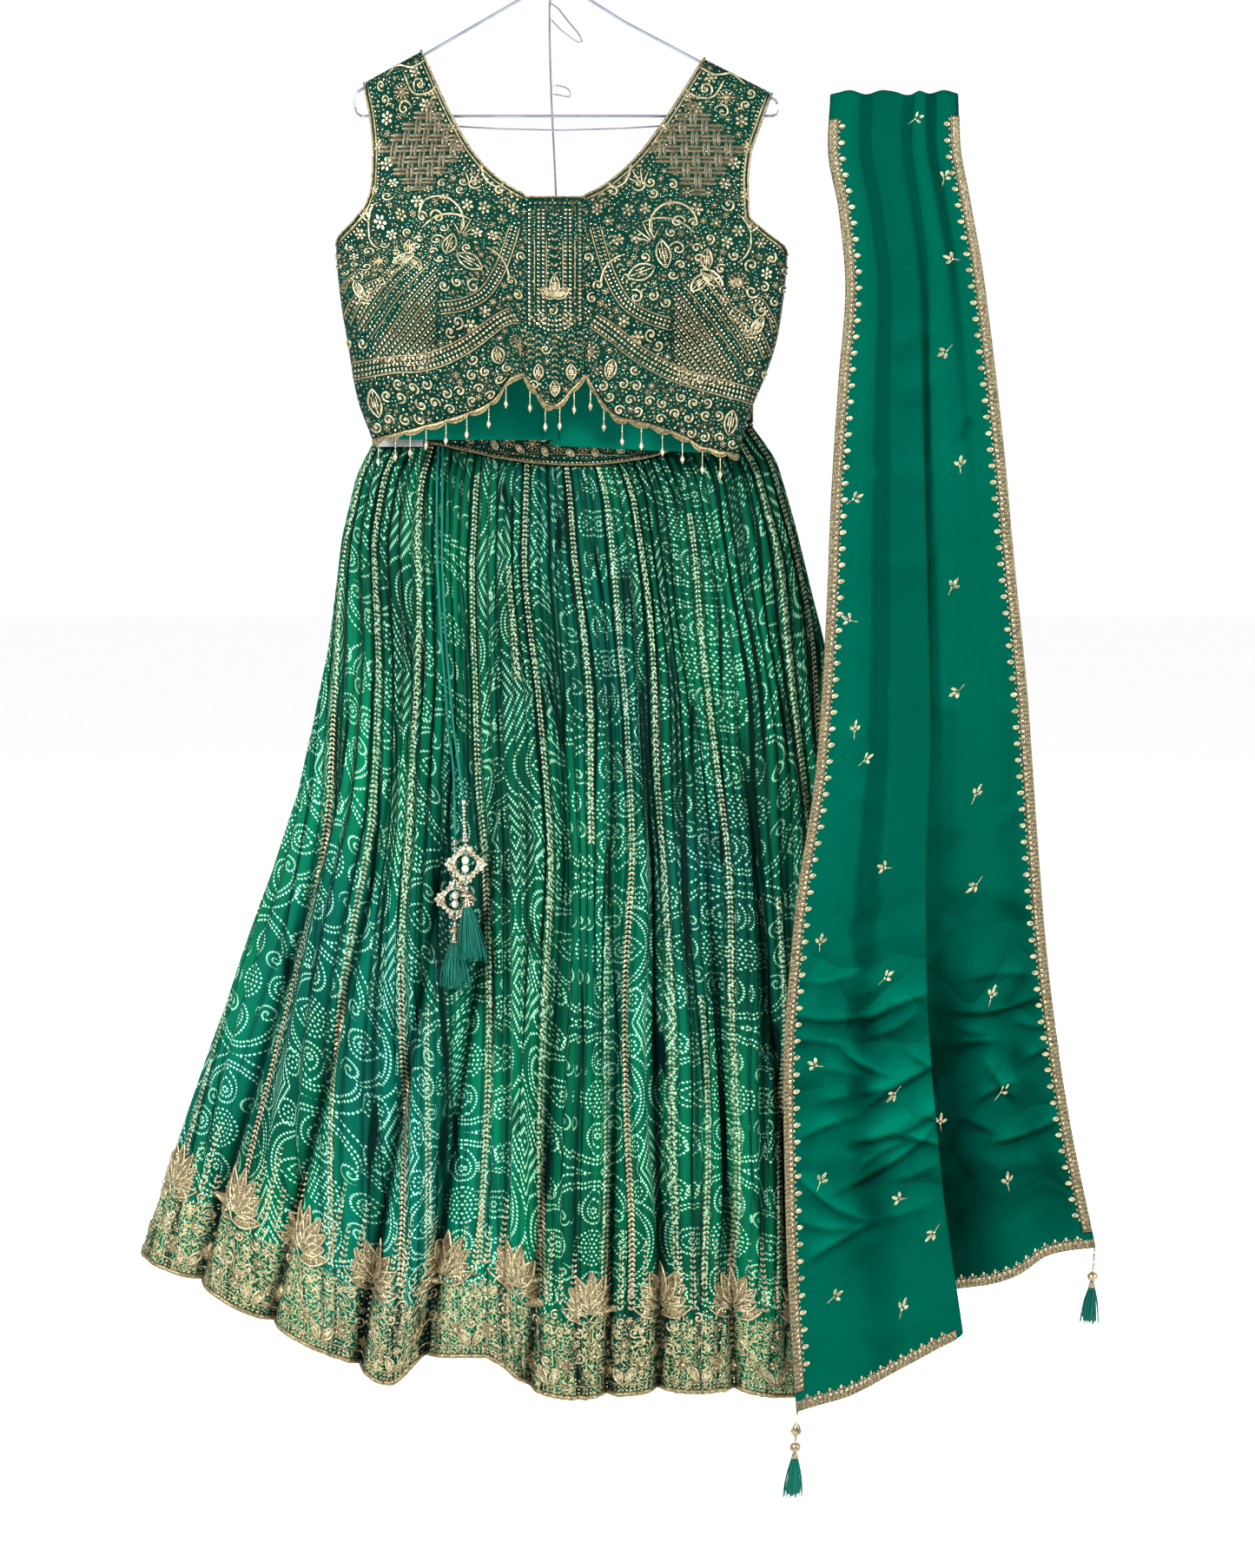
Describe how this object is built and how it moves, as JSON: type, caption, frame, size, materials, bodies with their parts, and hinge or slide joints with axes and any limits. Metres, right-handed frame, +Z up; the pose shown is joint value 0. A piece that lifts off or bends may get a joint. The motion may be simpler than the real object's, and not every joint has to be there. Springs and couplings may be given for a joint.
{
  "type": "lehenga choli set with dupatta on a wire hanger",
  "caption": "Flared gathered skirt, sleeveless embroidered blouse and long lace-edged stole, hung flat on a wire hanger with clips and a wall rod.",
  "frame": {"origin": "inside top of the hanger's hook, where it is held", "axes": "+X to the right as seen from the front, +Y towards the wall behind, +Z up"},
  "size_m": [1.0003, 0.2695, 1.6369],
  "materials": {
    "embroidered": "deep green cloth with dense antique gold embroidery",
    "lining": "plain emerald lining cloth",
    "printed": "green tie-dye style print with gold trims",
    "satin": "emerald satin",
    "gold_trim": "antique gold cord, lace and metal",
    "thread": "twisted green thread",
    "beads": "pale beads and pearls",
    "steel": "bare steel wire",
    "clip_grey": "grey clip"
  },
  "bodies": {
    "root": {"choli_front_left": "embroidered", "choli_front_right": "embroidered", "choli_front_centre": "embroidered", "skirt_waistband_front": "embroidered", "skirt_waistband_back": "embroidered", "choli_back_left": "lining", "choli_back_right": "lining", "choli_placket": "lining", "skirt_front_1": "printed", "skirt_front_2": "printed", "skirt_front_3": "printed", "skirt_front_4": "printed", "skirt_back_1": "printed", "skirt_back_2": "printed", "skirt_back_3": "printed", "skirt_back_4": "printed", "dupatta_front": "satin", "dupatta_back": "satin", "choli_neck_binding": "gold_trim", "choli_armhole_left": "gold_trim", "choli_armhole_right": "gold_trim", "choli_drops_left": "gold_trim", "choli_drops_centre": "gold_trim", "choli_drops_right": "gold_trim", "skirt_waist_piping": "gold_trim", "dori_chain_1": "gold_trim", "dori_chain_2": "gold_trim", "dori_medallion_1": "gold_trim", "dori_medallion_2": "gold_trim", "dori_tassel_1": "gold_trim", "dori_tassel_2": "gold_trim", "dupatta_lace_left": "gold_trim", "dupatta_lace_right": "gold_trim", "dupatta_lace_end_left": "gold_trim", "dupatta_lace_end_right": "gold_trim", "dupatta_back_lace_left": "gold_trim", "dupatta_back_lace_right": "gold_trim", "dupatta_back_lace_end": "gold_trim", "dori_cord_1": "thread", "dori_cord_2": "thread", "dori_pearls_1": "beads", "dori_pearls_2": "beads", "dupatta_tassel_1": "beads", "dupatta_tassel_2": "beads", "dupatta_tassel_3": "beads", "dupatta_tassel_4": "beads", "hanger_hook": "steel", "hanger_neck": "steel", "hanger_arm_left": "steel", "hanger_arm_right": "steel", "hanger_bar": "steel", "hanger_bar_lower": "steel", "stem_wire": "steel", "stem_loop": "steel", "clip_bar": "steel", "dupatta_rod": "steel", "dupatta_wall_plate": "steel", "clip_left": "clip_grey", "clip_right": "clip_grey"}
  },
  "joints": []
}
